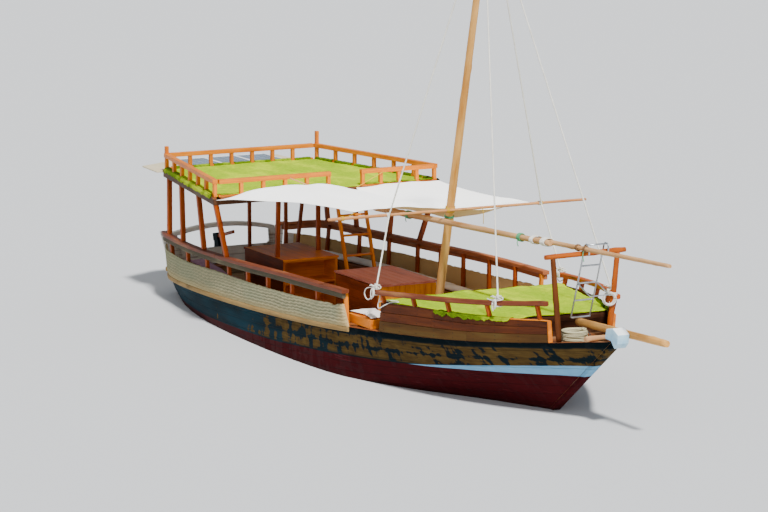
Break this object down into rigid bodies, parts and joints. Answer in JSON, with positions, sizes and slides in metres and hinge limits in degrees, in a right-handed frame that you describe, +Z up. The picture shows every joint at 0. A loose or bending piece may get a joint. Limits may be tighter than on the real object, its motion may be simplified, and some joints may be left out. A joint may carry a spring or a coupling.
{
  "type": "wooden motor dhow",
  "caption": "Wooden dhow with a transom stern, railed upper deck on posts, open cockpit, raked mast, lowered yard on gallows, awning and bowsprit.",
  "frame": {"origin": "on the centre line at the level of the water, under the middle of the cockpit", "axes": "+X towards the bow, +Y to port, +Z up"},
  "size_m": [15.755, 4.7, 8.8943],
  "materials": {
    "hull_paint": "dark blue-black paint worn to brown planks, dark red bottom",
    "backbone": "painted timber, dark red below the waterline",
    "stem_blue": "light blue and white paint",
    "stern_paint": "pale weathered paint",
    "varnished_wood": "orange-brown varnish with grain",
    "dark_wood": "dark brown oiled planks",
    "tan_strake": "tan painted rubbing strake",
    "woven_mat": "woven palm matting, weathered grey-green to tan",
    "sole_planks": "worn bare planks",
    "turf": "bright green artificial turf",
    "pole_wood": "round peeled poles, orange-tan, with knots",
    "canvas": "white cotton canvas",
    "cushion_cloth": "pale woven seat covers",
    "white_rope": "laid white rope",
    "stainless": "polished tube",
    "bronze": "tarnished bronze",
    "iron": "galvanised iron with rust",
    "solar_glass": "blue-grey cells under glass in a white frame",
    "shelf_cream": "cream painted board",
    "engine_grey": "grey engine enamel"
  },
  "bodies": {
    "boat": {"hull_planking": "hull_paint", "keel_and_stem": "backbone", "transom_board": "stern_paint", "taffrail": "stern_paint", "wale_starboard": "tan_strake", "wale_port": "tan_strake", "mat_bulwark_starboard": "woven_mat", "mat_bulwark_port": "woven_mat", "bow_bulwark_starboard": "dark_wood", "bow_bulwark_port": "dark_wood", "rail_aft_starboard": "varnished_wood", "rail_aft_port": "varnished_wood", "rail_bow_starboard": "dark_wood", "rail_bow_port": "dark_wood", "cockpit_sole": "sole_planks", "foredeck": "dark_wood", "foredeck_turf": "turf", "bow_cross_log": "pole_wood", "bowsprit": "pole_wood", "stemhead_block": "stem_blue", "gallows_frame": "varnished_wood", "mast": "pole_wood", "awning_pole": "pole_wood", "awning_cloth": "canvas", "standing_rigging": "white_rope", "roof_frame": "varnished_wood", "roof_deck": "dark_wood", "roof_turf": "turf", "roof_rail_starboard": "varnished_wood", "roof_rail_port": "varnished_wood", "roof_rail_stern": "varnished_wood", "roof_rail_front_starboard": "varnished_wood", "roof_rail_front_port": "varnished_wood", "stern_shelf": "shelf_cream", "solar_panels": "solar_glass", "roof_ladder": "varnished_wood", "galley_counter": "varnished_wood", "engine_box": "varnished_wood", "engine_block": "engine_grey", "bench_starboard": "varnished_wood", "bench_pad_starboard": "cushion_cloth", "bench_port": "varnished_wood", "bench_pad_port": "cushion_cloth", "entry_step": "varnished_wood", "entry_pad": "cushion_cloth", "swim_ladder": "stainless", "anchor": "iron", "anchor_rope_coil": "white_rope", "anchor_rope": "white_rope"},
    "yard": {"yard_spars": "pole_wood"},
    "engine_lid": {"engine_box_lid": "dark_wood"},
    "screw": {"propeller": "bronze"},
    "steering": {"rudder": "backbone"}
  },
  "joints": [
    {"name": "yard_lift", "type": "hinge", "parent": "boat", "child": "yard", "pos_m": [2.205, -0.1318, 2.4255], "axis": [0, -1, 0], "range_deg": [0, 12]},
    {"name": "engine_lid_hinge", "type": "hinge", "parent": "boat", "child": "engine_lid", "pos_m": [0, 0.552, 1.1603], "axis": [-1, 0, 0], "range_deg": [0, 80]},
    {"name": "propeller_shaft", "type": "hinge", "parent": "boat", "child": "screw", "pos_m": [-5.83, 0, -0.56], "axis": [1, 0, 0], "continuous": true},
    {"name": "rudder_hinge", "type": "hinge", "parent": "boat", "child": "steering", "pos_m": [-6.4056, 0, 0], "axis": [-0.1961, 0, 0.9806], "range_deg": [-35, 35]}
  ]
}
